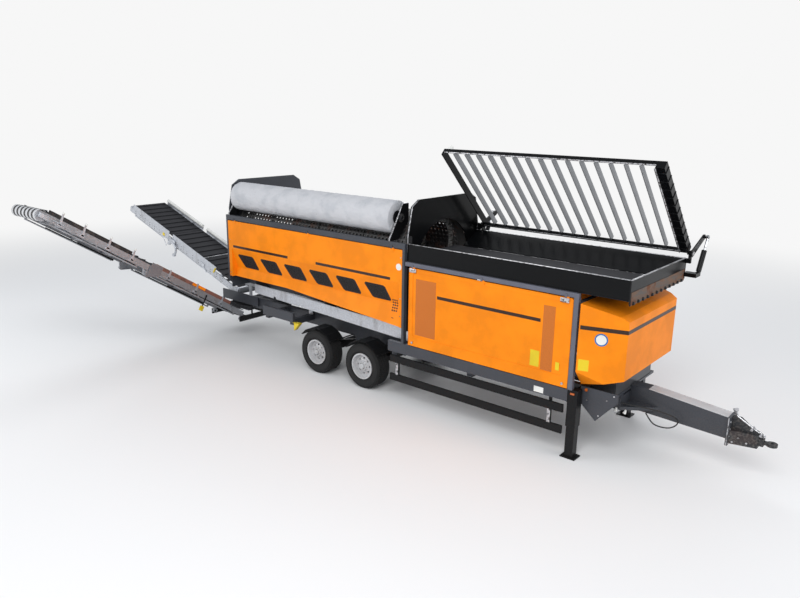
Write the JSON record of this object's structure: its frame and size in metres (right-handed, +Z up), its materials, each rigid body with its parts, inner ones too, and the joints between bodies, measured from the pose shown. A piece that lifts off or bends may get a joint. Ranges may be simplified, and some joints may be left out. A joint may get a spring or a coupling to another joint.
{
  "type": "mobile trommel screen",
  "caption": "Towed trommel screening machine: screen drum in a panelled housing, cleaning brush, hopper with tipping grate, folding side and rear conveyors, hood, drawbar and legs.",
  "frame": {"origin": "centre of the machine's box on the ground", "axes": "+X towards the tow eye, +Y to the left of travel, +Z up"},
  "size_m": [17.2867, 7.2396, 4.9644],
  "materials": {
    "belt_rubber": "matt",
    "black_paint": "satin enamel",
    "bright_steel": "bare",
    "bristle": "matt bristles",
    "chock_yellow": "matt",
    "chrome_rod": "polished",
    "engine_iron": "painted block",
    "galvanised": "hot-dip galvanised",
    "grey_paint": "satin enamel",
    "lamp_amber": "clear-coated",
    "lamp_white": "clear-coated",
    "orange_paint": "semi-gloss enamel",
    "rail_paint": "satin enamel",
    "silver_rim": "silver enamel",
    "tyre_rubber": "matt",
    "worn_steel": "worn, partly rusted"
  },
  "bodies": {
    "machine": {"axle_front": "black_paint", "axle_rear": "black_paint", "bay_frame": "rail_paint", "brush_carriers": "galvanised", "chassis_frame": "grey_paint", "collect_belt": "belt_rubber", "collect_frame": "galvanised", "drawbar": "grey_paint", "drawbar_head": "black_paint", "drum_bulkhead": "grey_paint", "drum_rollers": "bright_steel", "engine": "engine_iron", "feed_belt": "belt_rubber", "feed_frame": "black_paint", "grate_mounts": "black_paint", "hopper_walls": "black_paint", "housing_frame": "grey_paint", "housing_rear_wall": "grey_paint", "leg_tubes": "grey_paint", "marker_lamps": "lamp_amber", "mudguards": "black_paint", "rear_chute": "grey_paint", "side_guards": "grey_paint", "side_plates": "galvanised", "side_tail_belt": "belt_rubber", "side_tail_frame": "galvanised", "tow_eye": "bright_steel", "wheel_chock": "chock_yellow"},
    "wheel_front_left": {"tyre_front_left": "tyre_rubber", "rim_front_left": "silver_rim"},
    "wheel_front_right": {"tyre_front_right": "tyre_rubber", "rim_front_right": "silver_rim"},
    "wheel_rear_left": {"tyre_rear_left": "tyre_rubber", "rim_rear_left": "silver_rim"},
    "wheel_rear_right": {"tyre_rear_right": "tyre_rubber", "rim_rear_right": "silver_rim"},
    "drum": {"drum": "worn_steel"},
    "brush": {"brush": "bristle"},
    "grate": {"grate": "black_paint", "grate_slats": "bright_steel", "work_lamp": "lamp_white"},
    "drum_door_left": {"drum_door_left": "orange_paint"},
    "drum_door_right": {"drum_door_right": "orange_paint"},
    "service_door_left": {"service_door_left": "orange_paint"},
    "service_door_right": {"service_door_right": "orange_paint"},
    "hood": {"hood": "orange_paint"},
    "ram_barrels": {"ram_barrels": "black_paint"},
    "ram_rods": {"ram_rods": "chrome_rod"},
    "leg_left": {"leg_left": "black_paint"},
    "leg_right": {"leg_right": "black_paint"},
    "side_lower": {"side_lower_frame": "galvanised", "side_lower_belt": "belt_rubber"},
    "side_upper": {"side_upper_frame": "galvanised", "side_upper_belt": "belt_rubber"},
    "rear_lower": {"rear_lower_frame": "galvanised", "rear_lower_belt": "belt_rubber"},
    "rear_upper": {"rear_upper_frame": "galvanised", "rear_upper_belt": "belt_rubber"}
  },
  "joints": [
    {"name": "wheel_front_left_spin", "type": "hinge", "parent": "machine", "child": "wheel_front_left", "pos_m": [1.091, 3.0425, 0.475], "axis": [0, 1, 0], "continuous": true},
    {"name": "wheel_front_right_spin", "type": "hinge", "parent": "machine", "child": "wheel_front_right", "pos_m": [1.091, 0.9275, 0.475], "axis": [0, 1, 0], "continuous": true},
    {"name": "wheel_rear_left_spin", "type": "hinge", "parent": "machine", "child": "wheel_rear_left", "pos_m": [-0.251, 3.0425, 0.475], "axis": [0, 1, 0], "continuous": true},
    {"name": "wheel_rear_right_spin", "type": "hinge", "parent": "machine", "child": "wheel_rear_right", "pos_m": [-0.251, 0.9275, 0.475], "axis": [0, 1, 0], "continuous": true},
    {"name": "drum_spin", "type": "hinge", "parent": "machine", "child": "drum", "pos_m": [0.42, 1.985, 2.62], "axis": [1, 0, 0], "continuous": true},
    {"name": "brush_spin", "type": "hinge", "parent": "machine", "child": "brush", "pos_m": [0.42, 1.055, 3.6], "axis": [1, 0, 0], "continuous": true},
    {"name": "drum_door_right_lift", "type": "hinge", "parent": "machine", "child": "drum_door_right", "pos_m": [0.42, 0.729, 3.06], "axis": [1, 0, 0], "range_deg": [-100, 0]},
    {"name": "service_door_right_lift", "type": "hinge", "parent": "machine", "child": "service_door_right", "pos_m": [4.02, 0.729, 2.755], "axis": [1, 0, 0], "range_deg": [-95, 0]},
    {"name": "drum_door_left_lift", "type": "hinge", "parent": "machine", "child": "drum_door_left", "pos_m": [0.42, 3.241, 3.06], "axis": [-1, 0, 0], "range_deg": [-100, 0]},
    {"name": "service_door_left_lift", "type": "hinge", "parent": "machine", "child": "service_door_left", "pos_m": [4.02, 3.241, 2.755], "axis": [-1, 0, 0], "range_deg": [-95, 0]},
    {"name": "hood_swing", "type": "hinge", "parent": "machine", "child": "hood", "pos_m": [5.79, 3.241, 1.9], "axis": [0, 0, -1], "range_deg": [-95, 0]},
    {"name": "grate_tip", "type": "hinge", "parent": "machine", "child": "grate", "pos_m": [4.42, 3.105, 3.27], "axis": [1, 0, 0], "range_deg": [-16, 44]},
    {"name": "ram_swing", "type": "hinge", "parent": "machine", "child": "ram_barrels", "pos_m": [4.42, 3.315, 2.9], "axis": [1, 0, 0], "range_deg": [-10.4, 28.6]},
    {"name": "ram_stroke", "type": "slide", "parent": "ram_barrels", "child": "ram_rods", "axis": [0, 0.4819, 0.8762], "range_m": [-0.0848, 0.2332]},
    {"name": "side_lower_raise", "type": "hinge", "parent": "machine", "child": "side_lower", "pos_m": [-3.795, 1.085, 0.56], "axis": [-1, 0, 0], "range_deg": [0, 57.5]},
    {"name": "side_upper_fold", "type": "hinge", "parent": "side_lower", "child": "side_upper", "pos_m": [-3.795, -1.38233, 2.08443], "axis": [1, 0, 0], "range_deg": [0, 178]},
    {"name": "rear_lower_raise", "type": "hinge", "parent": "machine", "child": "rear_lower", "pos_m": [-4.03, 1.985, 1.04], "axis": [0, 1, 0], "range_deg": [0, 70]},
    {"name": "rear_upper_fold", "type": "hinge", "parent": "rear_lower", "child": "rear_upper", "pos_m": [-6.78817, 1.985, 1.9367], "axis": [0, -1, 0], "range_deg": [0, 170]},
    {"name": "leg_left_slide", "type": "slide", "parent": "machine", "child": "leg_left", "axis": [0, 0, 1], "range_m": [0, 0.4]},
    {"name": "leg_right_slide", "type": "slide", "parent": "machine", "child": "leg_right", "axis": [0, 0, 1], "range_m": [0, 0.4]}
  ],
  "couplings": [
    {"joint": "ram_swing", "follows": "grate_tip", "ratio": 0.65},
    {"joint": "ram_stroke", "follows": "grate_tip", "m_per_rad": 0.3037}
  ]
}
